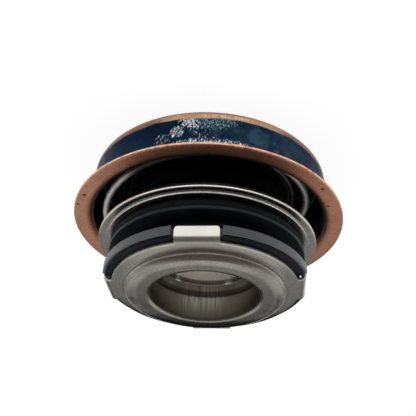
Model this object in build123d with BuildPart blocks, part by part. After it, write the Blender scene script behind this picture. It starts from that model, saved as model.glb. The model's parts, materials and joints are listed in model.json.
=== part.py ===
"""Unitized mechanical face seal for a pump shaft, as one assembly of separate pieces.

The shaft axis is Z and the flat end of the case stands on Z = 0. Going up from there: the case with its
out-turned flange, the spring seat and the rubber bellows inside it, the coil spring, the front retainer
with the carbon ring, then the mating ring in its rubber cup on the steel sleeve, whose flange is on top.
All sizes are in millimetres. Each round piece is the half section of the real one, turned about Z.

Two sizes carry the rest: radii are built outwards from the shaft, and heights both ways from the face
that the carbon ring runs on. Every piece then has its own thicknesses, widths and clearances.
"""

import os
from math import cos, pi, radians, sin

from build123d import *

# --- the shaft and the running face ---
shaft_bore_radius = 7.03     # inside of the sleeve
running_face_height = 17.0   # face of the mating ring, above the closed end of the case

# --- clearances ---
rubber_gap = 0.05            # between rubber and what holds it
metal_gap = 0.03             # between nested hard pieces
spring_gap = 0.02            # between the end coils and what they stand on
pilot_gap = 0.075            # between the end coils and the shell of the retainer
seat_rim_gap = 0.1           # between the spring seat and the bend of the case

# --- sleeve: drawn stainless tube on the shaft, with a boss, a flange and four drive tabs ---
sleeve_sheet = 0.6
boss_bore_step = 1.12        # how much wider the boss is bored than the tube
boss_bore_depth = 4.3
cone_height = 1.7            # between the boss bore and the tube
boss_round = 1.0
boss_lip_round = 0.8
boss_foot_round = 0.2
boss_top_share = 0.55        # most of the boss's rise that its outer round may take
boss_foot_share = 0.4        # most of the boss's rise that its foot may take
sleeve_flange_width = 1.83   # outside the boss
flange_edge_round = 0.12
flare_overlap = 0.58         # how far the flared end reaches under the carbon ring
flare_gap = 0.8              # between the flared end and the back of the carbon ring
tab_count = 4
tab_turn = -84.4             # direction of the first tab, in degrees from +X
tab_width = 6.1
tab_inset = 0.5              # from the rim of the mating ring to the outside of a tab
tab_end_gap = 0.1            # how far a tab stops short of the running face
tab_round = 0.8              # outside of the bend at the root
tab_corner = 0.7

# --- mating ring, with a low hub in the boss and a notch for each tab ---
ring_thickness = 1.3
ring_reach = 4.3             # from the hub to the rim
ring_hub_width = 1.3
ring_hub_height = 1.1
ring_edge_round = 0.12
notch_clearance = 0.4        # on each side of a tab
notch_depth_clearance = 0.35 # behind a tab
notch_overrun = 1.0          # how far the cut runs out past the rim

# --- rubber cup of the mating ring ---
cup_skirt = 0.75             # thickness of the skirt in the bore of the ring
cup_skirt_setback = 0.5      # from the running face to the end of the skirt
cup_wall = 0.4               # thickness round the hub
cup_cap = 0.45               # thickness on top of the hub
cup_web = 0.32               # thickness behind the rim of the ring
cup_cap_round = 0.45         # clears the bends inside the boss
cup_rim_setback = 0.3        # from the rim of the ring to the rim of the cup
cup_edge_round = 0.2

# --- carbon ring ---
carbon_sleeve_gap = 0.72
carbon_wall = 4.55
carbon_body_length = 4.55
carbon_shoulder_width = 1.86
carbon_shoulder_thickness = 0.95
carbon_nose_height = 2.6
carbon_nose_width = 1.9
carbon_nose_setback = 0.3    # from the bore of the mating ring to the bore of the nose
carbon_nose_bore_depth = 3.4
carbon_edge_round = 0.15

# --- bellows: one rubber moulding ---
rubber_wall = 0.65           # round the carbon ring
rubber_web = 0.75            # behind the carbon ring
rubber_lip = 1.0             # thickness of the lip under the shoulder of the carbon ring
rubber_lip_setback = 0.26    # from the rim of the shoulder to the rim of the lip
rubber_corner = 0.8          # rounded corners, which clear the bends of the seat and the case
rubber_corner_share = 0.4    # most of the tail's width that a corner may take
bellows_wall = 0.8
bellows_neck_step = 0.15     # from the bore of the tail to the bore of the neck
bow_share = 0.17             # how far the wall bows out, as a share of its height between tail and head
tail_height = 2.3
tail_width = 2.2

# --- front retainer: drawn stainless shell round the top of the bellows' head ---
retainer_sheet = 0.7
retainer_case_gap = 1.25     # from its rim to the wall of the case
retainer_rim_width = 1.2     # flat of the rim, outside the step
retainer_step = 0.3          # step up from the rim to the shoulder
retainer_step_width = 0.4
retainer_skirt_overrun = 0.2 # how far its skirt reaches past the end coil that it guides
retainer_bend = 0.4          # on the middle line
retainer_rim_round = 0.3

# --- spring ---
wire = 1.05
coil_swell = 0.85            # how much wider the middle coils stand than the end coils
coil_shift = 0.25            # how far the middle coils lean to +X
coil_start_turn = 54.6       # direction in which the wire leaves the lower end coil
open_turns = 1.367
closed_turns = 0.75          # at each end
coil_steps = 20              # points to a turn

# --- spring seat: pressed ring that clamps the tail of the bellows ---
seat_sheet = 0.6
seat_neck_gap = 0.6          # from its turned-in lip to the neck of the bellows
seat_bend_share = 0.9        # most of the lip that its bend may take

# --- case: drawn copper cup, pressed into the pump housing ---
case_sheet = 0.5
case_height = 8.3            # closed end to the top of the flange
case_spring_gap = 2.275      # from the end coils to the wall, which makes a case for a 36.5 mm bore
case_flange_width = 2.5
case_base_bend = 0.7         # inside radius of the bends at the closed end
case_mouth_bend = 0.5        # radius under the flange
case_collar_setback = 0.45   # from the top of the bellows tail to the end of the collar
shaft_hole_gap = 1.07        # round the flared end of the sleeve
rim_round = 0.15             # broken edges of the case flange

# --- sealant: thin coat on the case wall ---
coat = 0.10
coat_start = 1.7             # height of its lower edge
coat_feather = 0.25          # height over which it thins out

# --- radii, from the shaft outwards ---
sleeve_radius = shaft_bore_radius + sleeve_sheet
boss_bore_radius = shaft_bore_radius + boss_bore_step
cup_skirt_bore_radius = boss_bore_radius + sleeve_sheet + rubber_gap
ring_bore_radius = cup_skirt_bore_radius + cup_skirt + rubber_gap
hub_radius = ring_bore_radius + ring_hub_width
ring_radius = hub_radius + ring_reach
cup_cap_radius = hub_radius + rubber_gap + cup_wall
boss_radius = cup_cap_radius + rubber_gap + sleeve_sheet
sleeve_flange_radius = boss_radius + sleeve_flange_width
tab_outer_radius = ring_radius - tab_inset
tab_inner_radius = tab_outer_radius - sleeve_sheet
carbon_bore_radius = sleeve_radius + carbon_sleeve_gap
carbon_body_radius = carbon_bore_radius + carbon_wall
carbon_radius = carbon_body_radius + carbon_shoulder_width
carbon_nose_bore_radius = ring_bore_radius + carbon_nose_setback
carbon_nose_radius = carbon_nose_bore_radius + carbon_nose_width
flare_radius = carbon_bore_radius + flare_overlap
rubber_head_radius = carbon_body_radius + rubber_gap + rubber_wall
retainer_shell_radius = rubber_head_radius + rubber_gap + retainer_sheet
coil_radius = retainer_shell_radius + pilot_gap + wire / 2
shaft_hole_radius = flare_radius + shaft_hole_gap
tail_bore_radius = shaft_hole_radius + case_sheet + rubber_gap
tail_radius = tail_bore_radius + tail_width
neck_radius = tail_bore_radius + bellows_neck_step
neck_outer_radius = neck_radius + bellows_wall
seat_wall_radius = tail_radius + rubber_gap + seat_sheet
case_inner_radius = coil_radius + wire / 2 + case_spring_gap
case_radius = case_inner_radius + case_sheet

# --- heights, up from the running face ---
ring_back_height = running_face_height + ring_thickness
hub_top = ring_back_height + ring_hub_height
flange_under_face = ring_back_height + metal_gap + cup_web + rubber_gap
sleeve_flange_height = flange_under_face + sleeve_sheet
cup_top = hub_top + rubber_gap + cup_cap
sleeve_height = cup_top + rubber_gap + sleeve_sheet

# --- heights, down from the running face ---
carbon_shoulder_height = running_face_height - carbon_nose_height
carbon_shoulder_base = carbon_shoulder_height - carbon_shoulder_thickness
carbon_back_height = carbon_shoulder_base - carbon_body_length
lip_top = carbon_shoulder_base - rubber_gap
lip_base = lip_top - rubber_lip
retainer_shoulder_height = lip_base - rubber_gap
retainer_rim_height = retainer_shoulder_height - retainer_step
head_back = carbon_back_height - rubber_gap - rubber_web
flare_top = carbon_back_height - flare_gap

# --- heights, up from the closed end of the case ---
tail_floor = case_sheet + rubber_gap
tail_top = tail_floor + tail_height
seat_height = tail_top + rubber_gap + seat_sheet
case_collar_height = tail_top - case_collar_setback


def turned_sheet(path, bends, sheet):
    """Turns a sheet about Z: path is its middle line, and bends is one bend radius or one for each corner."""
    with BuildPart() as shell:
        with BuildSketch(Plane.XZ):
            with BuildLine():
                FilletPolyline(*path, radius=bends)
            trace(line_width=sheet)
        revolve(axis=Axis.Z)
    return shell.part


os.makedirs("parts", exist_ok=True)

# ---------------------------------------------------------------- case
half_case = case_sheet / 2
case_path = [
    (shaft_hole_radius + half_case, case_collar_height),
    (shaft_hole_radius + half_case, half_case),
    (case_radius - half_case, half_case),
    (case_radius - half_case, case_height - half_case),
    (case_radius + case_flange_width, case_height - half_case),
]
case_bends = [case_base_bend + half_case, case_base_bend + half_case, case_mouth_bend + half_case]
with BuildPart() as case:
    add(turned_sheet(case_path, case_bends, case_sheet))
    rim = case.edges().filter_by(GeomType.CIRCLE).group_by(SortBy.RADIUS)[-1]
    fillet(rim, rim_round)
case.part.label = "case"
export_step(case.part, "parts/case.step")

# ---------------------------------------------------------------- sealant on the case wall
# It fills the bend under the flange, but stays clear of the flat that seats on the pump housing.
flange_under = case_height - case_sheet
bend_start = flange_under - case_mouth_bend
bend_end_radius = case_radius + case_mouth_bend
coat_radius = case_radius + coat
with BuildPart() as sealant_band:
    with BuildSketch(Plane.XZ):
        with BuildLine():
            Polyline(
                (case_radius, coat_start),
                (coat_radius, coat_start + coat_feather),
                (coat_radius, bend_start),
            )
            TangentArc((coat_radius, bend_start), (bend_end_radius, flange_under), tangent=(0, 1))
            RadiusArc((bend_end_radius, flange_under), (case_radius, bend_start), -case_mouth_bend)
            Line((case_radius, bend_start), (case_radius, coat_start))
        make_face()
    revolve(axis=Axis.Z)
sealant_band.part.label = "sealant_band"
export_step(sealant_band.part, "parts/sealant_band.step")

# ---------------------------------------------------------------- spring seat
# It stands on the closed end of the case; its turned-in lip holds the tail of the bellows down.
half_seat = seat_sheet / 2
seat_radius = case_inner_radius - case_base_bend - seat_rim_gap
seat_middle_radius = seat_wall_radius - half_seat
seat_lip_radius = neck_outer_radius + seat_neck_gap
seat_path = [
    (seat_radius, case_sheet + half_seat),
    (seat_middle_radius, case_sheet + half_seat),
    (seat_middle_radius, seat_height - half_seat),
    (seat_lip_radius, seat_height - half_seat),
]
seat_bends = [seat_sheet, min(seat_sheet, seat_bend_share * (seat_middle_radius - seat_lip_radius))]
with BuildPart() as spring_seat:
    add(turned_sheet(seat_path, seat_bends, seat_sheet))
spring_seat.part.label = "spring_seat"
export_step(spring_seat.part, "parts/spring_seat.step")

# ---------------------------------------------------------------- carbon ring
# The nose runs on the mating ring; the shoulder shows above the retainer; the body sits in the rubber head.
carbon_nose_bore_height = running_face_height - carbon_nose_bore_depth
with BuildPart() as carbon_ring:
    with BuildSketch(Plane.XZ):
        with BuildLine():
            Polyline(
                (carbon_bore_radius, carbon_back_height),
                (carbon_body_radius, carbon_back_height),
                (carbon_body_radius, carbon_shoulder_base),
                (carbon_radius, carbon_shoulder_base),
                (carbon_radius, carbon_shoulder_height),
                (carbon_nose_radius, carbon_shoulder_height),
                (carbon_nose_radius, running_face_height),
                (carbon_nose_bore_radius, running_face_height),
                (carbon_nose_bore_radius, carbon_nose_bore_height),
                (carbon_bore_radius, carbon_nose_bore_height),
                close=True,
            )
        make_face()
    revolve(axis=Axis.Z)
    shoulder_edges = carbon_ring.edges().filter_by(GeomType.CIRCLE).group_by(SortBy.RADIUS)[-1]
    fillet(shoulder_edges, carbon_edge_round)
carbon_ring.part.label = "carbon_ring"
export_step(carbon_ring.part, "parts/carbon_ring.step")

# ---------------------------------------------------------------- front retainer
# Rim outside, a small step up, and a short skirt between the rubber head and the end coil of the spring.
spring_high = retainer_rim_height - retainer_sheet - spring_gap - wire / 2
half_shell = retainer_sheet / 2
retainer_radius = case_inner_radius - retainer_case_gap
step_radius = retainer_radius - retainer_rim_width
rim_middle = retainer_rim_height - half_shell
shoulder_middle = retainer_shoulder_height - half_shell
skirt_middle_radius = retainer_shell_radius - half_shell
skirt_end_height = spring_high - wire / 2 - retainer_skirt_overrun
retainer_path = [
    (retainer_radius, rim_middle),
    (step_radius + retainer_step_width / 2, rim_middle),
    (step_radius - retainer_step_width / 2, shoulder_middle),
    (skirt_middle_radius, shoulder_middle),
    (skirt_middle_radius, skirt_end_height),
]
with BuildPart() as front_retainer:
    add(turned_sheet(retainer_path, retainer_bend, retainer_sheet))
    rim = front_retainer.edges().filter_by(GeomType.CIRCLE).group_by(SortBy.RADIUS)[-1]
    fillet(rim, retainer_rim_round)
front_retainer.part.label = "front_retainer"
export_step(front_retainer.part, "parts/front_retainer.step")

# ---------------------------------------------------------------- bellows
# One moulding: head round the carbon ring, thin bowed wall, and a thick tail round the collar of the case.
bow_height = (tail_top + head_back) / 2
bow = bow_share * (head_back - tail_top)
head_bore_radius = carbon_body_radius + rubber_gap
head_floor = carbon_back_height - rubber_gap
lip_radius = carbon_radius - rubber_lip_setback
with BuildPart() as bellows:
    with BuildSketch(Plane.XZ):
        with BuildLine():
            Polyline(
                (neck_radius, tail_top),
                (tail_bore_radius, tail_top),
                (tail_bore_radius, tail_floor),
                (tail_radius, tail_floor),
                (tail_radius, tail_top),
                (neck_outer_radius, tail_top),
            )
            ThreePointArc(
                (neck_outer_radius, tail_top),
                (neck_outer_radius + bow, bow_height),
                (neck_outer_radius, head_back),
            )
            Polyline(
                (neck_outer_radius, head_back),
                (rubber_head_radius, head_back),
                (rubber_head_radius, lip_base),
                (lip_radius, lip_base),
                (lip_radius, lip_top),
                (head_bore_radius, lip_top),
                (head_bore_radius, head_floor),
                (neck_radius, head_floor),
                (neck_radius, head_back),
            )
            ThreePointArc(
                (neck_radius, head_back),
                (neck_radius + bow, bow_height),
                (neck_radius, tail_top),
            )
        make_face()
    revolve(axis=Axis.Z)
    ring_levels = bellows.edges().filter_by(Plane.XY).group_by(Axis.Z)
    tail_foot = ring_levels[0]
    tail_shoulder = ring_levels[1].sort_by(SortBy.RADIUS)[-1:]
    head_heel = ring_levels[2].sort_by(SortBy.RADIUS)[-1:]
    fillet(tail_foot + tail_shoulder + head_heel, min(rubber_corner, rubber_corner_share * tail_width))
bellows.part.label = "bellows"
export_step(bellows.part, "parts/bellows.step")

# ---------------------------------------------------------------- spring
# Right-hand coil: closed coils on the seat and under the rim of the retainer, and open ones between them.
spring_low = case_sheet + seat_sheet + spring_gap + wire / 2
turn_count = open_turns + 2 * closed_turns
step_count = round(turn_count * coil_steps)
coil_points = []
for step in range(step_count + 1):
    turns = turn_count * step / step_count - closed_turns
    rise = min(max(turns / open_turns, 0), 1)
    swell = sin(pi * rise) ** 2
    radius = coil_radius + coil_swell * swell
    turn = radians(coil_start_turn + 360 * turns)
    height = spring_low + (spring_high - spring_low) * rise
    coil_points.append((radius * cos(turn) + coil_shift * swell, radius * sin(turn), height))
with BuildPart() as spring:
    with BuildLine() as coil:
        Spline(*coil_points)
    with BuildSketch(coil.line ^ 0):
        Circle(wire / 2)
    sweep(path=coil.line)
spring.part.label = "spring"
export_step(spring.part, "parts/spring.step")

# ---------------------------------------------------------------- sleeve
# One drawn part: flared end, tube, cone, wider bore, rounded boss, and the flange with its bent-down tabs.
half_sleeve = sleeve_sheet / 2
tube_middle_radius = shaft_bore_radius + half_sleeve
boss_bore_middle_radius = boss_bore_radius + half_sleeve
cone_top_height = sleeve_height - boss_bore_depth
boss_top_middle = sleeve_height - half_sleeve
flange_middle = sleeve_flange_height - half_sleeve
sleeve_path = [
    (flare_radius, flare_top - half_sleeve),
    (tube_middle_radius, flare_top - half_sleeve),
    (tube_middle_radius, cone_top_height - cone_height),
    (boss_bore_middle_radius, cone_top_height),
    (boss_bore_middle_radius, boss_top_middle),
    (boss_radius - half_sleeve, boss_top_middle),
    (boss_radius - half_sleeve, flange_middle),
    (sleeve_flange_radius, flange_middle),
]
boss_rise = boss_top_middle - flange_middle
sleeve_bends = [
    sleeve_sheet,
    sleeve_sheet,
    sleeve_sheet,
    boss_lip_round - half_sleeve,
    min(boss_round - half_sleeve, boss_top_share * boss_rise),
    min(boss_foot_round + half_sleeve, boss_foot_share * boss_rise),
]
tab_end_height = running_face_height + tab_end_gap
tab_root_radius = (boss_radius + sleeve_flange_radius) / 2
with BuildPart() as one_tab:
    with BuildSketch(Plane.XZ.offset(-tab_width / 2)):
        with BuildLine():
            Polyline(
                (tab_root_radius, flange_under_face),
                (tab_root_radius, sleeve_flange_height),
                (tab_outer_radius, sleeve_flange_height),
                (tab_outer_radius, tab_end_height),
                (tab_inner_radius, tab_end_height),
                (tab_inner_radius, flange_under_face),
                close=True,
            )
        make_face()
    extrude(amount=tab_width)
    bend_edge = one_tab.edges().filter_by(Axis.Y).group_by(Axis.Z)[-1].sort_by(Axis.X)[-1]
    fillet(bend_edge, tab_round)
    free_corners = one_tab.edges().filter_by(Axis.X).group_by(Axis.Z)[0]
    fillet(free_corners, tab_corner)
with BuildPart() as sleeve:
    add(turned_sheet(sleeve_path, sleeve_bends, sleeve_sheet))
    rim = sleeve.edges().filter_by(GeomType.CIRCLE).group_by(SortBy.RADIUS)[-1]
    fillet(rim, flange_edge_round)
    with Locations(Rotation(0, 0, tab_turn)):
        with PolarLocations(0, tab_count):
            add(one_tab.part)
sleeve.part.label = "sleeve"
export_step(sleeve.part, "parts/sleeve.step")

# ---------------------------------------------------------------- mating ring
# Flat running face below, a low hub that sits in the boss of the sleeve, and a notch for each tab.
notch_width = tab_width + 2 * notch_clearance
notch_floor_radius = tab_inner_radius - notch_depth_clearance
notch_length = ring_radius + notch_overrun - notch_floor_radius
notch_middle_radius = notch_floor_radius + notch_length / 2
with BuildPart() as mating_ring:
    with BuildSketch(Plane.XZ):
        with BuildLine():
            Polyline(
                (ring_bore_radius, running_face_height),
                (ring_radius, running_face_height),
                (ring_radius, ring_back_height),
                (hub_radius, ring_back_height),
                (hub_radius, hub_top),
                (ring_bore_radius, hub_top),
                close=True,
            )
        make_face()
    revolve(axis=Axis.Z)
    outer_edges = mating_ring.edges().filter_by(GeomType.CIRCLE).group_by(SortBy.RADIUS)[-1]
    fillet(outer_edges, ring_edge_round)
    with BuildSketch(Plane.XY.offset(running_face_height)):
        with PolarLocations(notch_middle_radius, tab_count, start_angle=tab_turn):
            Rectangle(notch_length, notch_width)
    extrude(amount=ring_thickness, mode=Mode.SUBTRACT)
mating_ring.part.label = "mating_ring"
export_step(mating_ring.part, "parts/mating_ring.step")

# ---------------------------------------------------------------- rubber cup of the mating ring
# It lies between the ring and the sleeve: a skirt in the bore, a cap in the boss and a flat rim, notched too.
cup_rim_top = flange_under_face - rubber_gap
cup_rim_base = ring_back_height + metal_gap
cup_rim_radius = ring_radius - cup_rim_setback
cup_skirt_radius = cup_skirt_bore_radius + cup_skirt
cup_skirt_end = running_face_height + cup_skirt_setback
with BuildPart() as ring_cup:
    with BuildSketch(Plane.XZ):
        with BuildLine():
            Polyline(
                (cup_skirt_bore_radius, cup_skirt_end),
                (cup_skirt_radius, cup_skirt_end),
                (cup_skirt_radius, hub_top + rubber_gap),
                (hub_radius + rubber_gap, hub_top + rubber_gap),
                (hub_radius + rubber_gap, cup_rim_base),
                (cup_rim_radius, cup_rim_base),
                (cup_rim_radius, cup_rim_top),
                (cup_cap_radius, cup_rim_top),
                (cup_cap_radius, cup_top),
                (cup_skirt_bore_radius, cup_top),
                close=True,
            )
        make_face()
    revolve(axis=Axis.Z)
    rings = ring_cup.edges().filter_by(GeomType.CIRCLE)
    fillet(rings.group_by(Axis.Z)[-1], cup_cap_round)
    rim_edge = rings.group_by(SortBy.RADIUS)[-1].sort_by(Axis.Z)[-1]
    fillet(rim_edge, cup_edge_round)
    with BuildSketch(Plane.XY.offset(ring_back_height)):
        with PolarLocations(notch_middle_radius, tab_count, start_angle=tab_turn):
            Rectangle(notch_length, notch_width)
    extrude(amount=flange_under_face - ring_back_height, mode=Mode.SUBTRACT)
ring_cup.part.label = "ring_cup"
export_step(ring_cup.part, "parts/ring_cup.step")
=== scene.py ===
"""A cartridge face seal for a pump shaft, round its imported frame: pressed copper case with a band of sealant,
spring and rubber bellows, carbon ring in its retainer, and the mating ring on the drawn stainless sleeve.

Section sizes are in millimetres, and a piece's mesh is brought to metres when it is finished."""
import json
from math import asin, cos, degrees, pi, radians, sin, tan

import bmesh
import bpy
from mathutils import Matrix, Vector, noise


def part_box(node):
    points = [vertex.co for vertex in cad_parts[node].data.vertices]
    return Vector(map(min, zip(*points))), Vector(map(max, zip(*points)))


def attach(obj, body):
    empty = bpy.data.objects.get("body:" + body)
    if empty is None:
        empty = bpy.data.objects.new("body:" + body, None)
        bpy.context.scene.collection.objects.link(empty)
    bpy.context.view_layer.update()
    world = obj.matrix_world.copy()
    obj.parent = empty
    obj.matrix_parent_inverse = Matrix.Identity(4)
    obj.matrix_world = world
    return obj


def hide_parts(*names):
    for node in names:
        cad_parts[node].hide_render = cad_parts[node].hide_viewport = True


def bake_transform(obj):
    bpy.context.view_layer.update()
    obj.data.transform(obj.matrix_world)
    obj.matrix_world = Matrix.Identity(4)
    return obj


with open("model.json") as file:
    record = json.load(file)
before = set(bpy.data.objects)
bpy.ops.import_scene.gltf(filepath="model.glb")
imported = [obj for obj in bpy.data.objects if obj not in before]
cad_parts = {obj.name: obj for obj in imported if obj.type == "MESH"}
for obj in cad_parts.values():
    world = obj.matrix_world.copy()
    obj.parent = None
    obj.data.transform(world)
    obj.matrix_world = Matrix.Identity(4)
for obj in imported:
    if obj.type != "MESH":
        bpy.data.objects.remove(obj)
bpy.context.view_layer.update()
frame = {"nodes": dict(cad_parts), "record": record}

# ------------------------------------------------------------------------------------------------ camera
# The seal stands on the closed end of its case. The camera looks down on the sleeve from 35 degrees above the
# floor, close to it, and is rolled half round, so that the case is at the top of the picture. Sizes in metres.
camera_data = bpy.data.cameras.new("camera")
camera_data.sensor_width = 36
camera_data.lens = 60.6
camera_data.clip_start = 0.01
camera = bpy.data.objects.new("camera", camera_data)
bpy.context.scene.collection.objects.link(camera)
bpy.context.scene.camera = camera
camera_stand = Vector((0, -0.09334, 0.06490))
camera_aim = Vector((0.00013, 0, 0.00484))
camera_roll = pi + radians(2.61)
camera_turn = (camera_aim - camera_stand).to_track_quat("-Z", "Y").to_matrix()
camera_turn = camera_turn @ Matrix.Rotation(camera_roll, 3, "Z")
camera.matrix_world = Matrix.Translation(camera_stand) @ camera_turn.to_4x4()

# ------------------------------------------------------------------------------------------------ floor
# A plain pale table top, far wider than the seal. It looks white to the eye and to metal, and takes the seal's shadow;
# metal sees a painted shadow on it, a dim ring round the foot of the case.
mm = 0.001


class Value:
    """An output of a shader node. Arithmetic on it adds one Math node for each sign."""

    def __init__(self, shader, node, socket):
        self.shader, self.node, self.socket = shader, node, socket

    def __getitem__(self, name):
        return Value(self.shader, self.node, self.node.outputs[name])

    def sign(self, operation, *terms):
        return self.shader.node("ShaderNodeMath", {"operation": operation}, dict(enumerate(terms)))

    def __add__(self, other):
        return self.sign("ADD", self, other)

    def __sub__(self, other):
        return self.sign("SUBTRACT", self, other)

    def __mul__(self, other):
        return self.sign("MULTIPLY", self, other)

    def __truediv__(self, other):
        return self.sign("DIVIDE", self, other)

    def __pow__(self, other):
        return self.sign("POWER", self, other)

    def __rsub__(self, other):
        return self.sign("SUBTRACT", other, self)

    __radd__ = __add__
    __rmul__ = __mul__

    def rise(self, low, high):
        """0 below low, 1 above high, and smooth between them; low may be the larger of the two."""
        settings = {"interpolation_type": "SMOOTHSTEP"}
        return self.shader.node("ShaderNodeMapRange", settings, {"Value": self, "From Min": low, "From Max": high})


class Shader:
    """The emptied node tree of a material or of the world."""

    def __init__(self, owner):
        owner.use_nodes = True
        self.tree = owner.node_tree
        self.tree.nodes.clear()

    def node(self, kind, settings, inputs):
        """Adds a node: first its settings, then a value or a link for each socket named. Gives its first output."""
        node = self.tree.nodes.new(kind)
        for name, setting in settings.items():
            setattr(node, name, setting)
        for name, value in inputs.items():
            if isinstance(name, int):
                socket = node.inputs[name]
            else:
                socket = next(s for s in node.inputs if s.name == name and s.enabled)
            if isinstance(value, Value):
                self.tree.links.new(value.socket, socket)
            elif socket.type == "RGBA":
                socket.default_value = (*value, 1)
            else:
                socket.default_value = value
        outputs = [socket for socket in node.outputs if socket.enabled]
        return Value(self, node, outputs[0]) if outputs else None

    def colours(self, share, first, second):
        """The first colour where share is 0, the second where it is 1."""
        settings = {"data_type": "RGBA", "clamp_factor": True}
        return self.node("ShaderNodeMix", settings, {"Factor": share, "A": first, "B": second})


class Place:
    """Where a shaded point lies, in millimetres: x, y, height, and radius, its distance from the shaft axis."""

    def __init__(self, shader):
        self.shader = shader
        self.point = shader.node("ShaderNodeTexCoord", {}, {})["Object"]
        axes = shader.node("ShaderNodeSeparateXYZ", {}, {"Vector": self.point})
        self.x, self.y, self.height = (axes[axis] * (1 / mm) for axis in "XYZ")
        self.radius = (self.x * self.x + self.y * self.y) ** 0.5

    def grain(self, size, detail=2.0):
        """Noise from 0 to 1 with lumps of that size."""
        inputs = {"Vector": self.point, "Scale": 1 / (size * mm), "Detail": detail}
        return self.shader.node("ShaderNodeTexNoise", {}, inputs)

    def rings(self, spacing, run):
        """Noise drawn out round the axis, as turning and drawing leave it: run is how many lumps go once round."""
        around = run / (2 * pi)
        settled = self.shader.node("ShaderNodeCombineXYZ", {}, {
            "X": self.x / self.radius * around,
            "Y": self.y / self.radius * around,
            "Z": self.radius * (1 / spacing),
        })
        inputs = {"Vector": settled, "W": self.height * (1 / spacing), "Scale": 1.0, "Detail": 2.0}
        return self.shader.node("ShaderNodeTexNoise", {"noise_dimensions": "4D"}, inputs)

    def strokes(self, count, length):
        """Noise drawn out along the axis: count is how many strokes go once round."""
        around = count / (2 * pi)
        settled = self.shader.node("ShaderNodeCombineXYZ", {}, {
            "X": self.x / self.radius * around,
            "Y": self.y / self.radius * around,
            "Z": self.height * (1 / length),
        })
        return self.shader.node("ShaderNodeTexNoise", {}, {"Vector": settled, "Scale": 1.0, "Detail": 3.0})

    def spot(self, size, **centre):
        """1 in a spot of that size round a centre given by two of x, y and height, fading to 0 at its edge."""
        core = 0.45
        away = sum((getattr(self, axis) - value) ** 2 for axis, value in centre.items()) ** 0.5
        return away.rise(size, size * core)


floor_half = 1.5
floor_colour = (0.80, 0.80, 0.80)
white_to_eye, white_in_metal = 0.94, 0.72
floor_mesh = bmesh.new()
bmesh.ops.create_grid(floor_mesh, x_segments=1, y_segments=1, size=floor_half)
floor_data = bpy.data.meshes.new("floor")
floor_mesh.to_mesh(floor_data)
floor_mesh.free()
floor = bpy.data.objects.new("floor", floor_data)
bpy.context.scene.collection.objects.link(floor)
floor_finish = bpy.data.materials.new("table_top")
shader = Shader(floor_finish)
place = Place(shader)
plain = shader.node("ShaderNodeBsdfDiffuse", {}, {"Color": floor_colour})
white = shader.node("ShaderNodeEmission", {}, {"Color": (1, 1, 1), "Strength": 1.0})
path = shader.node("ShaderNodeLightPath", {}, {})
# Painted shadow for metal: a dim ring round the foot of the case.
shade_start, shade_full, shade_fading, shade_end = 18.8, 20.4, 26, 31
shaded = place.radius.rise(shade_start, shade_full) * place.radius.rise(shade_end, shade_fading)
share = path["Is Camera Ray"] * white_to_eye
share = share + (path["Is Glossy Ray"] + path["Is Transmission Ray"]) * (1 - shaded) * white_in_metal
surface = shader.node("ShaderNodeMixShader", {}, {0: share, 1: plain, 2: white})
shader.node("ShaderNodeOutputMaterial", {}, {"Surface": surface})
floor_data.materials.append(floor_finish)

# ------------------------------------------------------------------------------------------------ room and lamps
# A light wall opposite the camera with a dark doorway and its frame, and a dim ceiling and near side, which is
# what draws the dark bands in the metal; and large soft lamps overhead and at both sides.
light_wall = (0.55, 0.54, 0.525)
dim_side = (0.125, 0.102, 0.096)
dark_foot = (0.048, 0.036, 0.033)
frame_round_door = (0.26, 0.255, 0.25)
doorway = (0.010, 0.010, 0.010)
world = bpy.data.worlds.new("room")
bpy.context.scene.world = world
shader = Shader(world)
direction = shader.node("ShaderNodeTexCoord", {}, {})["Generated"]
across = shader.node("ShaderNodeSeparateXYZ", {}, {"Vector": direction})
near_side = shader.colours(across["Z"].rise(0.0, 0.55), dark_foot, dim_side)
room = shader.colours(across["Y"].rise(-0.35, 0.50), near_side, light_wall)
ceiling = across["Z"].rise(0.80, 0.98)
room = shader.colours(ceiling, room, dim_side)
frame_shape = across["Y"].rise(0.74, 0.82) * across["Z"].rise(0.51, 0.47)
room = shader.colours(frame_shape, room, frame_round_door)
door_shape = across["Y"].rise(0.845, 0.885) * across["Z"].rise(0.452, 0.422)
room = shader.colours(door_shape, room, doorway)
path = shader.node("ShaderNodeLightPath", {}, {})
room = shader.colours(path["Is Camera Ray"], room, (1, 1, 1))
background = shader.node("ShaderNodeBackground", {}, {"Color": room})
shader.node("ShaderNodeOutputWorld", {}, {"Surface": background})


def lamp(name, place, width, power):
    """A square soft lamp that faces the seal. Neither the eye nor the metal sees the lamp itself."""
    data = bpy.data.lights.new(name, "AREA")
    data.size = width
    data.energy = power
    light = bpy.data.objects.new(name, data)
    light.location = place
    light.rotation_euler = (-Vector(place)).to_track_quat("-Z", "Y").to_euler()
    light.visible_camera = False
    light.visible_glossy = False
    bpy.context.scene.collection.objects.link(light)


lamp("overhead_lamp", place=(0.0, 0.05, 0.60), width=0.36, power=3.2)
lamp("left_lamp", place=(0.48, 0.10, 0.30), width=0.26, power=1.3)
lamp("right_lamp", place=(-0.48, 0.10, 0.30), width=0.26, power=1.3)
bpy.context.scene.view_settings.view_transform = "Standard"

# ------------------------------------------------------------------------------------------------ case
# Cup drawn from copper-coated sheet, with a collar round its shaft hole and an out-turned flange that stops it
# in the pump housing. Its inside is coloured near black; the flange is spotted, and bright where its edge is rubbed,
# which is partly a painted highlight. Painted light and shade lie on the copper in places.
round_steps = 288
bend_segments = 6
long_edge = 0.8
same_point = 1e-4


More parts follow.
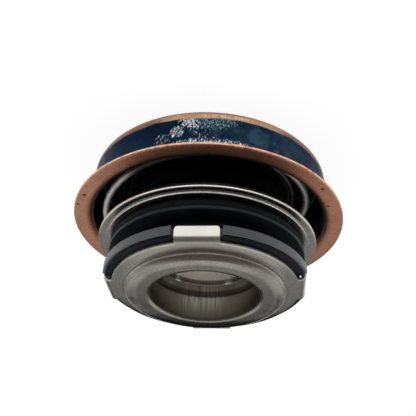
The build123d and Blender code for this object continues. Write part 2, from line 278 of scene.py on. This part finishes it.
def lay_line(bm, path, closed=False):
    """Lays edges through path, in (radius, height, bend), and rounds the corners; a bend of 0 leaves one sharp.

    Long edges are parted, so that the shading of a bend stays by the bend."""
    corners = [bm.verts.new((radius, 0, height)) for radius, height, _ in path]
    following = corners[1:] + corners[:1] if closed else corners[1:]
    for start, end in zip(corners, following):
        bm.edges.new((start, end))
    for corner, (_, _, bend) in zip(corners, path):
        if bend:
            one_side, other_side = [edge.other_vert(corner).co - corner.co for edge in corner.link_edges]
            turn = pi - one_side.angle(other_side)
            bmesh.ops.bevel(bm, geom=[corner], offset=bend * tan(turn / 2), offset_type="OFFSET",
                            segments=bend_segments, profile=0.5, affect="VERTICES", material=-1)
    bmesh.ops.subdivide_edges(bm, edges=[edge for edge in bm.edges if edge.calc_length() > long_edge], cuts=3)


def turn_round(bm, steps=round_steps):
    """Turns the lines in the bmesh once round Z."""
    bmesh.ops.spin(bm, geom=bm.verts[:] + bm.edges[:], cent=(0, 0, 0), axis=(0, 0, 1), dvec=(0, 0, 0),
                   angle=2 * pi, steps=steps, use_merge=True)
    bmesh.ops.remove_doubles(bm, verts=bm.verts, dist=same_point)
    bmesh.ops.recalc_face_normals(bm, faces=bm.faces)


def make_piece(bm, name, finish, sheet=0.0, edge_round=0.0):
    """Makes the bmesh, in millimetres, an object in metres. sheet gives a surface its thickness, half each way."""
    bmesh.ops.scale(bm, vec=(mm, mm, mm), verts=bm.verts)
    mesh = bpy.data.meshes.new(name)
    bm.to_mesh(mesh)
    bm.free()
    mesh.shade_smooth()
    piece = bpy.data.objects.new(name, mesh)
    bpy.context.scene.collection.objects.link(piece)
    if sheet:
        thickness = piece.modifiers.new("thickness", "SOLIDIFY")
        thickness.thickness = sheet * mm
        thickness.offset = 0
        thickness.use_even_offset = True
    if edge_round:
        edges = piece.modifiers.new("edges", "BEVEL")
        edges.width = edge_round * mm
        edges.segments = 3
        edges.limit_method = "ANGLE"
        edges.angle_limit = radians(40)
    piece.modifiers.new("shading", "WEIGHTED_NORMAL")
    ready = piece.evaluated_get(bpy.context.evaluated_depsgraph_get())
    piece.data = bpy.data.meshes.new_from_object(ready)
    piece.modifiers.clear()
    piece.data.materials.clear()
    piece.data.materials.append(finish)
    return piece


def extent(node):
    """A CAD node's outer radius, lowest and highest point, in millimetres."""
    low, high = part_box(node)
    return max(high.x, high.y) / mm, low.z / mm, high.z / mm


def coat_with(shader, colour, metallic, roughness, relief, depth, **more):
    """The shader's surface: a principled one, with relief as its bump, which is depth millimetres high."""
    bump = shader.node("ShaderNodeBump", {}, {"Height": relief, "Distance": depth * mm, "Strength": 1.0})
    inputs = {"Base Color": colour, "Metallic": metallic, "Roughness": roughness, "Normal": bump}
    surface = shader.node("ShaderNodeBsdfPrincipled", {}, inputs | more)
    shader.node("ShaderNodeOutputMaterial", {}, {"Surface": surface})


case_radius_over_flange, _, case_top = extent("case")
case_sheet, flange_width = 0.5, 2.75
case_wall = case_radius_over_flange - flange_width
case_outside = case_wall + case_sheet / 2
case_collar, case_collar_top = 10.25, 2.4
base_round, flange_round, case_edge_round = 0.95, 0.75, 0.15
clean_copper, tarnish_and_shade, stained = (0.95, 0.51, 0.34), (0.49, 0.205, 0.125), (0.06, 0.028, 0.02)
bend_foot_shade, bend_highlight, side_shade_copper = (0.33, 0.14, 0.08), (0.84, 0.50, 0.30), (0.27, 0.160, 0.110)
highlight_copper, glint_copper, rubbed_lit_copper = (1.0, 0.70, 0.46), (1.0, 0.90, 0.72), (0.93, 0.58, 0.42)
shaded_copper, near_black_inside = (0.16, 0.070, 0.045), (0.002, 0.002, 0.002)
stain_places = [
    (0.42, 18.4, -7.4), (0.30, 20.2, -4.85), (0.30, 19.6, -4.85), (0.30, -17.5, -7.3), (0.35, -16.0, -11.7)]
copper = bpy.data.materials.new("spotted_copper")
shader = Shader(copper)
place = Place(shader)
speckle = place.grain(0.26, 2.0).rise(0.44, 0.64)
mottle = place.grain(2.6, 4.0).rise(0.40, 0.66)
# Painted shade: the copper darkens towards the near side and towards minus x, on top of its real tarnish.
painted_shade_side = place.x.rise(20.0, -10.0) * 0.2 + place.y.rise(-7.0, -17.0) * 0.35
colour = shader.colours(mottle * 0.15 + speckle * 0.45 + painted_shade_side, clean_copper, tarnish_and_shade)
stains = sum(place.spot(size, x=x, y=y) for size, x, y in stain_places)
colour = shader.colours(stains * 0.85, colour, stained)
# The flange's outer edge is lightened, partly as rubbed wear and partly as a painted highlight line.
edge = place.radius.rise(case_radius_over_flange - 0.22, case_radius_over_flange - 0.06)
colour = shader.colours(edge * place.grain(0.9).rise(0.30, 0.55) * 0.8, colour, rubbed_lit_copper)
# The bend of the closed end is painted in shade at its foot and at both sides, and painted light, with bright beads of
# highlight, in between.
base_bend = place.height.rise(1.5, 1.0) * place.radius.rise(16.5, 17.4)
painted_bend_light = base_bend * place.grain(0.5, 3.0).rise(0.72, 0.45)
bend_light_colour = shader.colours(place.height.rise(0.65, 1.20), bend_foot_shade, bend_highlight)
colour = shader.colours(painted_bend_light * 0.85, colour, bend_light_colour)
low_wall = place.height.rise(2.6, 2.2) * place.radius.rise(16.5, 17.2)
shaded_sides = (place.x.rise(5.0, 9.0) + place.x.rise(-8.0, -12.0)) * low_wall
colour = shader.colours(shaded_sides * 0.85, colour, side_shade_copper)
highlight_strip = low_wall * place.height.rise(1.00, 1.70) * place.x.rise(8.5, 6.0) * place.x.rise(-11.0, -8.0)
colour = shader.colours(highlight_strip * 0.7, colour, highlight_copper)
glint_beads = place.strokes(460, 4.0).rise(0.45, 0.58) * place.height.rise(1.00, 1.12) * place.height.rise(1.50, 1.40)
glint_beads = glint_beads * place.x.rise(2.6, 1.4) * place.x.rise(-6.5, -3.5) * place.y.rise(-13.0, -15.0)
colour = shader.colours(glint_beads, colour, glint_copper)
rolled_in = place.radius.rise(case_wall + 1.25, case_wall + 0.05) * place.height.rise(case_top - 0.8, case_top - 0.3)
colour = shader.colours(rolled_in * 0.8, colour, shaded_copper)
inside = place.radius.rise(case_wall + 0.03, case_wall - 0.03)
inside = inside * place.radius.rise(case_collar - 0.03, case_collar + 0.03)
inside = inside * place.height.rise(case_sheet / 2 - 0.01, case_sheet / 2 + 0.01)
inside = inside * (place.height + place.grain(1.2) * 0.3).rise(case_top - 0.18, case_top - 0.35)
colour = shader.colours(inside, colour, near_black_inside)
roughness = 0.33 + place.grain(0.6, 3.0) * 0.14
relief = place.grain(0.16, 3.0) * 0.6 + place.rings(0.14, 90) * 0.4
coat_with(shader, colour, 1 - inside, roughness, relief, 0.012)
bm = bmesh.new()
lay_line(bm, [
    (case_collar, case_collar_top, 0),
    (case_collar, case_sheet / 2, base_round),
    (case_wall, case_sheet / 2, base_round),
    (case_wall, case_top - case_sheet / 2, flange_round),
    (case_radius_over_flange, case_top - case_sheet / 2, 0),
])
turn_round(bm)
case_cup = make_piece(bm, "case_cup", copper, sheet=case_sheet, edge_round=case_edge_round)
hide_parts("case")
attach(case_cup, "housing")

# ------------------------------------------------------------------------------------------------ sealant band
# Blue sealant, brushed round the wall of the case and dried to a thin coat: wavy at its lower edge, and wrinkled
# on one side. Painted sheen lies in places and at both ends, and the crests of the wrinkles carry painted glints.
_, sealant_base, sealant_top = extent("sealant_band")
coat, sunk, top_gap = 0.10, 0.06, 0.02
edge_slope, fillet_start, fillet_reach = 0.22, 7.36, 0.46
edge_reach, edge_droop, droop_radius, edge_wave = 2.2, 0.15, 18.3, 0.18
wave_height, ripple_height, settled = 0.030, 0.014, 0.01
sealant_steps = 432
deep_blue, thin_teal, sheen_blue = (0.001, 0.013, 0.048), (0.001, 0.026, 0.052), (0.042, 0.100, 0.170)
end_sheen_grey, wrinkle_sheen_blue = (0.16, 0.19, 0.22), (0.05, 0.12, 0.17)
glint_white, glint_blue = (0.84, 0.90, 0.95), (0.30, 0.44, 0.52)
sealant = bpy.data.materials.new("blue_sealant")
shader = Shader(sealant)
place = Place(shader)
colour = shader.colours(place.grain(3.4, 3.0).rise(0.44, 0.66), deep_blue, thin_teal)
# Painted sheen: pale blue patches near the middle and on one side.
sheen_side = place.x.rise(4.0, -5.0) * place.x.rise(-15.0, -11.0) * 0.7
painted_sheen = place.spot(1.9, x=-6.3, height=3.9) + place.spot(1.5, x=-8.6, height=4.6) + sheen_side
colour = shader.colours(painted_sheen * place.grain(1.3, 4.0).rise(0.22, 0.74) * 0.9, colour, sheen_blue)
# Painted reflection: both ends of the band, where it turns away, are lightened grey.
sheen_at_ends = place.x.rise(-16.4, -17.9) + place.x.rise(17.0, 18.3)
colour = shader.colours(sheen_at_ends * 0.6, colour, end_sheen_grey)
near_base = place.height.rise(4.2, 1.6) * place.x.rise(5.4, 3.6) * place.x.rise(-4.8, -2.2)
near_flange = place.height.rise(5.0, 6.0) * place.x.rise(6.4, 3.4) * place.x.rise(-6.0, -3.6)
between = place.spot(1.3, x=4.9, height=4.0) * 1.2 + place.spot(1.6, x=6.9, height=5.0) * 0.35
between = between + place.spot(3.4, x=0.8, height=3.2) * 0.35
wrinkled = (near_base + near_flange + between).rise(0.0, 1.0) * place.y.rise(-13.0, -15.0)
# Painted sheen: a lighter blue over the wrinkled part.
colour = shader.colours(wrinkled * place.grain(0.9).rise(0.3, 0.7) * 0.7, colour, wrinkle_sheen_blue)
# Painted glints: pale metallic flecks along the crests of the wrinkles.
thick = wrinkled * 0.13 + place.spot(1.3, x=3.2, height=2.4) * 0.07
painted_glints = (place.strokes(660, 0.45) + thick).rise(0.57, 0.76) * wrinkled.rise(0.0, 0.3)
bluer_glint_place = place.x.rise(2.4, 1.4) * place.height.rise(5.3, 4.6)
colour = shader.colours(painted_glints, colour, shader.colours(bluer_glint_place, glint_white, glint_blue))
relief = place.grain(1.6, 1.0) * 0.4 + place.grain(0.42, 2.0) * wrinkled + place.rings(0.5, 40) * 0.12
roughness = 0.22 + place.grain(0.8) * 0.12
blue_gloss = {"Specular IOR Level": 0.05, "Specular Tint": (0.6, 0.8, 1.0)}
coat_with(shader, colour, painted_glints, roughness, relief, 0.08, **blue_gloss)
bm = bmesh.new()
lay_line(bm, [
    (case_outside - sunk, sealant_base, 0),
    (case_outside, sealant_base, 0),
    (case_outside + coat, sealant_base + edge_slope, 0.15),
    (case_outside + coat, fillet_start, 0.4),
    (case_outside + fillet_reach, sealant_top - top_gap, 0),
    (case_outside - sunk, sealant_top - top_gap, 0),
], closed=True)
bmesh.ops.subdivide_edges(bm, edges=[edge for edge in bm.edges if edge.calc_length() > 1], cuts=5)
turn_round(bm, sealant_steps)
for vert in bm.verts:
    spread = max(0.0, 1 - (vert.co.z - sealant_base) / edge_reach)
    lower = edge_droop * abs(vert.co.x) / droop_radius
    lower += edge_wave * noise.noise(Vector((vert.co.x, vert.co.y, 0)) * 0.45)
    vert.co.z -= spread * lower
    outward = Vector((vert.co.x, vert.co.y, 0)).normalized()
    wave = noise.noise(vert.co * 0.55) * wave_height + noise.noise(vert.co * 1.7) * ripple_height
    if vert.co.xy.length > case_outside + coat * 0.8:
        vert.co += outward * (wave - settled)
sealant_coat = make_piece(bm, "sealant_coat", sealant)
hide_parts("sealant_band")
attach(sealant_coat, "housing")

# ------------------------------------------------------------------------------------------------ spring seat
# Ring pressed from thin steel sheet, coloured near black. Its upturned wall clamps the tail of the bellows on the
# collar of the case, and the spring stands on its flat rim; the top of the wall carries a painted highlight on one
# side.


def finish_node(node, finish):
    """Gives a CAD node its finish."""
    slots = frame["nodes"][node].data.materials
    slots.clear()
    slots.append(finish)


near_black_seat = bpy.data.materials.new("near_black_steel")
shader = Shader(near_black_seat)
place = Place(shader)
painted_highlight_arc = place.height.rise(2.88, 3.02) * place.height.rise(3.30, 3.16) * place.radius.rise(12.8, 12.95)
painted_highlight_arc = painted_highlight_arc * place.x.rise(-5.0, -8.0)
colour = shader.colours(painted_highlight_arc, (0.004, 0.004, 0.005), (0.80, 0.78, 0.73))
coat_with(shader, colour, 0.85, 0.42 + place.grain(0.5) * 0.12, place.rings(0.12, 60), 0.008)
finish_node("spring_seat", near_black_seat)

# ------------------------------------------------------------------------------------------------ bellows
# One rubber moulding: a head round the carbon ring, with a lip under its shoulder, a thin bowed wall, and a
# thick tail on the collar of the case.
rubber = bpy.data.materials.new("moulded_rubber")
shader = Shader(rubber)
place = Place(shader)
dusty = place.grain(1.8, 4.0).rise(0.45, 0.75)
colour = shader.colours(dusty * 0.35, (0.002, 0.003, 0.0045), (0.013, 0.017, 0.022))
relief = place.grain(0.12, 3.0) * 0.7 + place.rings(0.35, 24) * 0.3
coat_with(shader, colour, 0.0, 0.50 + dusty * 0.12, relief, 0.010, **{"Specular IOR Level": 0.2})
_, _, lip_top = extent("bellows")
tail_base, tail_top, tail_bore, tail_radius, tail_lead = 0.55, 2.85, 10.55, 12.75, 0.2
neck_bore, neck_wall = 10.70, 0.80
head_bore, head_radius, head_base, head_floor = 12.95, 13.60, 8.10, 8.85
lip_radius, lip = 14.50, 1.00
middle = (tail_top + head_base) / 2
bow = 0.17 * (head_base - tail_top)
bm = bmesh.new()
lay_line(bm, [
    (neck_bore, tail_top, 0),
    (tail_bore, tail_top - tail_lead, 0.1),
    (tail_bore, tail_base, 0.6),
    (tail_radius, tail_base, 0.6),
    (tail_radius, tail_top, 0.8),
    (neck_bore + neck_wall, tail_top, 0.15),
    (neck_bore + neck_wall + bow, middle, 3.0),
    (neck_bore + neck_wall, head_base, 0.15),
    (head_radius, head_base, 0.8),
    (head_radius, lip_top - lip, 0.1),
    (lip_radius, lip_top - lip, 0.25),
    (lip_radius, lip_top, 0.12),
    (head_bore, lip_top, 0.1),
    (head_bore, head_floor, 0.1),
    (neck_bore, head_floor, 0.1),
    (neck_bore, head_base, 0.1),
    (neck_bore + bow, middle, 3.0),
], closed=True)
turn_round(bm)
bellows_moulding = make_piece(bm, "bellows_moulding", rubber)
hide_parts("bellows")
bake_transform(bellows_moulding)

# ------------------------------------------------------------------------------------------------ spring
# Coil of round stainless wire, wound right-hand: a closed coil stands on the seat and another is under the rim
# of the retainer, with the open, slightly wider coils between them. Its ends are cut square.
wire = 1.05
end_coil, coil_swell, coil_lean = 14.95, 0.85, 0.25
open_turns, closed_turns, first_turn = 1.367, 0.75, 54.6
turn_points = 48
_, spring_base, spring_top = extent("spring")
wire_steel = bpy.data.materials.new("spring_wire")
shader = Shader(wire_steel)
place = Place(shader)
drawn = place.rings(0.08, 12)
colour = shader.colours(place.grain(0.7, 3.0).rise(0.45, 0.75) * 0.4, (0.80, 0.785, 0.75), (0.52, 0.50, 0.47))
# Painted shade: the lowest coil and the near side of the coil are darkened to near black.
painted_coil_shade = place.height.rise(3.3, 2.4) + place.y.rise(-9.5, -12.5) * 0.9
colour = shader.colours(painted_coil_shade, colour, (0.010, 0.010, 0.011))
coat_with(shader, colour, 0.8, 0.38 + place.grain(0.4, 2.0) * 0.14, drawn, 0.006)
coil_line = bpy.data.curves.new("spring_coil", "CURVE")
coil_line.dimensions = "3D"
coil_line.bevel_depth = wire / 2 * mm
coil_line.bevel_resolution = 6
coil_line.use_fill_caps = True
turns = open_turns + 2 * closed_turns
steps = round(turns * turn_points)
stretch = coil_line.splines.new("POLY")
stretch.points.add(steps)
for step in range(steps + 1):
    wound = turns * step / steps - closed_turns
    rise = min(max(wound / open_turns, 0), 1)
    swell = sin(pi * rise) ** 2
    angle = radians(first_turn + 360 * wound)
    radius = end_coil + coil_swell * swell
    height = spring_base + wire / 2 + (spring_top - spring_base - wire) * rise
    centre = Vector((radius * cos(angle) + coil_lean * swell, radius * sin(angle), height))
    stretch.points[step].co = (*(centre * mm), 1)
coil_curve = bpy.data.objects.new("coil_line", coil_line)
spring_mesh = bpy.data.meshes.new_from_object(coil_curve)
spring_mesh.shade_smooth()
spring_mesh.set_sharp_from_angle(angle=radians(50))
spring_mesh.materials.clear()
spring_mesh.materials.append(wire_steel)
bpy.data.objects.remove(coil_curve)
coil_spring = bpy.data.objects.new("coil_spring", spring_mesh)
bpy.context.scene.collection.objects.link(coil_spring)
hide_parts("spring")
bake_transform(coil_spring)

# ------------------------------------------------------------------------------------------------ carbon ring
# Seal washer of pressed carbon graphite, turned all over and dull: its body sits in the rubber head, and its
# shoulder stands above the retainer. Below the shoulder it is darkened as painted shade, and rougher.
carbon = bpy.data.materials.new("turned_carbon")
shader = Shader(carbon)
place = Place(shader)
marks = place.rings(0.10, 70)
colour = shader.colours(place.grain(0.35, 3.0), (0.003, 0.006, 0.009), (0.013, 0.020, 0.028))
shade_below_shoulder = place.height.rise(13.98, 13.85)
colour = shader.colours(shade_below_shoulder, colour, (0.001, 0.002, 0.003))
roughness = 0.36 + marks * 0.2 + shade_below_shoulder * 0.4
relief = marks * 0.7 + place.grain(0.1, 3.0) * 0.5
coat_with(shader, colour, 0.0, roughness, relief, 0.010, **{"Specular IOR Level": 0.28})
finish_node("carbon_ring", carbon)

# ------------------------------------------------------------------------------------------------ front retainer
# Shell pressed from stainless sheet: a flat rim that the spring pushes on, a small step up, and a short skirt
# round the rubber head. Tumbled after pressing, so that its edges are round; on the near side the rim and step carry a
# painted highlight.


def satin_steel(shader, place, colour, drawn):
    """Tumbled stainless sheet: its colour, roughness and relief, with fine pits, smudges, and marks round the axis."""
    smudge = place.grain(2.8, 4.0).rise(0.36, 0.70)
    pits = place.grain(0.20, 3.0)
    darker = tuple(part * 0.68 for part in colour)
    tint = shader.colours(smudge * 0.35 + pits.rise(0.42, 0.66) * 0.8, colour, darker)
    return tint, smudge * 0.08 + pits * 0.06, pits * 0.5 + place.rings(0.09, 50) * drawn


rim_radius, skirt_end, shoulder_top = extent("front_retainer")
retainer_sheet = 0.7
step_rise, step_radius, foot_out, top_in = 0.3, 15.4, 0.04, 0.03
skirt_bore = 13.65
skirt_radius = skirt_bore + retainer_sheet
rim_top = shoulder_top - step_rise
retainer_steel = bpy.data.materials.new("retainer_steel")
shader = Shader(retainer_steel)
place = Place(shader)
colour, roughness, relief = satin_steel(shader, place, (0.50, 0.485, 0.45), 0.2)
rim_highlight = place.radius.rise(rim_radius - 0.30, rim_radius - 0.14) * place.height.rise(rim_top - 0.45, rim_top - 0.30)
step_highlight = place.radius.rise(step_radius - 0.10, step_radius - 0.04)
step_highlight = step_highlight * place.radius.rise(step_radius + 0.16, step_radius + 0.10)
step_highlight = step_highlight * place.height.rise(rim_top + 0.01, rim_top + 0.05)
near_edge_highlights = (rim_highlight + step_highlight) * place.y.rise(-2.0, -9.0)
colour = shader.colours(near_edge_highlights * 0.95, colour, (1.0, 0.99, 0.96))
coat_with(shader, colour, 1.0, 0.19 + roughness, relief, 0.010)
bm = bmesh.new()
lay_line(bm, [
    (rim_radius, rim_top - retainer_sheet, 0.45),
    (rim_radius, rim_top, 0.10),
    (step_radius + foot_out, rim_top, 0.05),
    (step_radius - top_in, shoulder_top, 0.08),
    (skirt_bore, shoulder_top, 0.45),
    (skirt_bore, skirt_end, 0.15),
    (skirt_radius, skirt_end, 0.15),
    (skirt_radius, shoulder_top - retainer_sheet, 0.15),
    (step_radius - 0.45, shoulder_top - retainer_sheet, 0.2),
    (step_radius - 0.20, rim_top - retainer_sheet, 0.2),
], closed=True)
turn_round(bm)
retainer_shell = make_piece(bm, "retainer_shell", retainer_steel)
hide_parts("front_retainer")
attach(retainer_shell, "head")

# ------------------------------------------------------------------------------------------------ mating ring
# Ring of dense grey ceramic, pressed and fired, with a notch for each tab. It is lapped on its running face and
# fine-ground on its rim, and sits in the ring cup.
ceramic = bpy.data.materials.new("ground_ceramic")
shader = Shader(ceramic)
place = Place(shader)
ground = place.rings(0.07, 30)
colour = shader.colours(place.grain(0.22, 4.0), (0.042, 0.052, 0.058), (0.085, 0.096, 0.104))
coat_with(shader, colour, 0.0, 0.34 + ground * 0.16, ground * 0.6 + place.grain(0.09, 2.0) * 0.5, 0.008)
finish_node("mating_ring", ceramic)

# ------------------------------------------------------------------------------------------------ ring cup
# Cup of the same rubber as the bellows, moulded in one, that beds the mating ring in the sleeve. Its flat rim
# shows as a dark line under the sleeve's flange.
finish_node("ring_cup", rubber)

# ------------------------------------------------------------------------------------------------ sleeve
# Drawn from one piece of stainless sheet: flared end, tube on the shaft, cone, wider bore, crowned boss and
# flange. Four tabs, cut at the edge of the flange and bent down, drive the mating ring.
shaft_mount = next(mount for mount in frame["record"]["mounts"] if mount["name"] == "shaft_bore")
shaft_bore = shaft_mount["dims"]["r_mm"]
sleeve_sheet, sleeve_edge_round = 0.6, 0.09
half = sleeve_sheet / 2
_, sleeve_end, sleeve_top = extent("sleeve")
flare_radius, tube = 8.93, shaft_bore + half
boss_bore, boss_radius, flange_radius = shaft_bore + 1.12, 12.0, 13.83
flange_middle, crown, crown_start = 19.0, 0.12, 10.3
cone_top = sleeve_top - 4.3
cone_foot = cone_top - 1.7
tab_turn, tab_count, tab_width = -84.4, 4, 6.1
tab_bend, tab_outside, tab_end, tab_corner = 0.5, 14.7, 17.1, 0.7
tab_bend_steps = 6
sleeve_steps = 240


def extrude(bm, edges):
    """Extrudes the edges without moving them, and gives the new edges and the new verts."""
    made = bmesh.ops.extrude_edge_only(bm, edges=edges)["geom"]
    new_edges = [item for item in made if isinstance(item, bmesh.types.BMEdge)]
    return new_edges, [item for item in made if isinstance(item, bmesh.types.BMVert)]


bm = bmesh.new()
lay_line(bm, [
    (flare_radius, sleeve_end + half, 0),
    (tube, sleeve_end + half, 0.6),
    (tube, cone_foot, 0.9),
    (boss_bore + half, cone_top, 1.2),
    (boss_bore + half, sleeve_top - half, 0.12),
    (crown_start, sleeve_top - half, 5.0),
    (boss_radius - half, sleeve_top - half - crown, 0.66),
    (boss_radius - half, flange_middle, 0.52),
    (flange_radius, flange_middle, 0),
])
half_tab_turn = degrees(asin(tab_width / 2 / flange_radius))
seam_turn = Matrix.Rotation(radians(tab_turn - half_tab_turn), 3, "Z")
bmesh.ops.rotate(bm, verts=bm.verts, cent=(0, 0, 0), matrix=seam_turn)
turn_round(bm, sleeve_steps)
for number in range(tab_count):
    turned = Matrix.Rotation(radians(tab_turn + number * 360 / tab_count), 4, "Z")
    out, side = (turned @ Vector((1, 0, 0))), (turned @ Vector((0, 1, 0)))
    front = [edge for edge in bm.edges if edge.is_boundary
             and all(vert.co.xy.length > flange_radius - 0.01 and vert.co.dot(out) > 0
                     and abs(vert.co.dot(side)) < tab_width / 2 + 0.03 for vert in edge.verts)]
    bend_start = tab_outside - half - tab_bend
    bend_centre = out * bend_start + Vector((0, 0, flange_middle - tab_bend))
    front, verts = extrude(bm, front)
    for vert in verts:
        vert.co += out * (bend_start - vert.co.dot(out))
    for _ in range(tab_bend_steps):
        front, verts = extrude(bm, front)
        bend_turn = Matrix.Rotation(radians(90 / tab_bend_steps), 3, side)
        bmesh.ops.rotate(bm, verts=verts, cent=bend_centre, matrix=bend_turn)
    front, verts = extrude(bm, front)
    for vert in verts:
        vert.co.z = tab_end
    corners = [vert for vert in verts if abs(vert.co.dot(side)) > tab_width / 2 - 0.03]
    bmesh.ops.bevel(bm, geom=corners, offset=tab_corner, offset_type="OFFSET", segments=5, profile=0.5,
                    affect="VERTICES", material=-1)
bmesh.ops.recalc_face_normals(bm, faces=bm.faces)
darker_bore_grey, wall_shade, highlight_steel = (0.30, 0.30, 0.24), (0.15, 0.14, 0.125), (0.91, 0.93, 0.86)
bend_shade_brown, painted_light_steel = (0.075, 0.062, 0.060), (0.86, 0.84, 0.77)
sleeve_steel = bpy.data.materials.new("sleeve_steel")
shader = Shader(sleeve_steel)
place = Place(shader)
colour, roughness, relief = satin_steel(shader, place, (0.57, 0.555, 0.51), 0.25)
# The bore is darker grey, most towards the rim; a painted highlight in lengthwise strokes lies on the far side,
# and the tube is painted bright, with two painted streaks of highlight.
in_bore = place.radius.rise(boss_bore + 0.20, boss_bore + 0.10)
in_tube = place.radius.rise(shaft_bore + 0.27, shaft_bore + 0.17)
deep = place.height.rise(19.4, 17.2)
colour = shader.colours(in_bore * (0.75 - deep * 0.35), colour, darker_bore_grey)
strokes = place.strokes(260, 6.0)
far_bore_highlight = place.spot(4.4, x=0.4, y=8.1) * strokes.rise(0.36, 0.64) * (0.1 + deep * 0.8)
streaks = place.x.rise(3.7, 4.3) * place.x.rise(4.9, 4.3) + place.x.rise(-4.4, -3.5) * place.x.rise(-2.6, -3.5)
streaks = streaks * in_tube
# The boss's wall is painted in shade away from the near side, and the tabs below the flange are painted bright as a
# highlight.
wall = place.radius.rise(11.45, 11.75) * place.height.rise(19.38, 19.55) * place.y.rise(-6.0, -2.0)
colour = shader.colours(wall * 0.55, colour, wall_shade)
tab_highlight = place.radius.rise(tab_outside - 0.20, tab_outside - 0.10) * place.height.rise(18.75, 18.55)
painted_highlights = (far_bore_highlight + in_tube * 0.8 + streaks * 0.2) * in_bore + tab_highlight
colour = shader.colours(painted_highlights, colour, highlight_steel)
# Painted shade lies at the top and the foot of the cone, and in the groove at the foot of the boss on the near side.
cone_bend_shade = place.height.rise(cone_top - 0.75, cone_top - 0.35) * place.height.rise(cone_top + 0.55, cone_top + 0.15)
cone_foot_shade = place.height.rise(cone_top - 2.3, cone_top - 2.0) * place.height.rise(cone_top - 1.3, cone_top - 1.6)
groove = place.radius.rise(11.45, 11.75) * place.radius.rise(12.30, 12.15) * place.height.rise(19.95, 19.70)
painted_bend_shade = (cone_bend_shade + cone_foot_shade) * in_bore * 0.75 + groove * place.y.rise(2.0, -2.0) * 0.2
colour = shader.colours(painted_bend_shade, colour, bend_shade_brown)
# Painted light lightens the ring of the boss at both sides and the flange on the near side.
side_light_ring = place.radius.rise(9.8, 10.4) * place.radius.rise(11.6, 11.2) * place.y.rise(-7.0, -3.0)
side_light_ring = side_light_ring * place.y.rise(7.0, 3.0)
near_light_flange = place.radius.rise(12.1, 12.5) * place.y.rise(-6.0, -10.0)
colour = shader.colours((side_light_ring + near_light_flange) * 0.6, colour, painted_light_steel)
# The far side is polished, and the shoulder of the boss and the foot of its wall are satin.
polished = place.y.rise(5.5, 10.0) * (1 - in_bore)
satin_edge = place.radius.rise(10.8, 11.4) * place.y.rise(8.0, 2.0)
satin_foot = place.radius.rise(11.9, 12.3) * place.y.rise(-3.0, -9.0)
shoulder = place.radius.rise(10.0, 10.5) * place.radius.rise(11.5, 11.2)
shoulder = shoulder * place.y.rise(1.0, 4.0) * place.y.rise(8.5, 6.5)
satin = satin_edge * 0.12 + satin_foot * 0.08 + wall * 0.24 + shoulder * 0.10
roughness = 0.14 + roughness * (1 - polished * 0.5) + in_bore * 0.16 + satin - polished * 0.09
relief = relief + in_bore * strokes * 0.5
coat_with(shader, colour, 1.0 - streaks * 0.8, roughness, relief, 0.012)
drawn_sleeve = make_piece(bm, "drawn_sleeve", sleeve_steel, sheet=sleeve_sheet, edge_round=sleeve_edge_round)
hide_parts("sleeve")
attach(drawn_sleeve, "rotor")
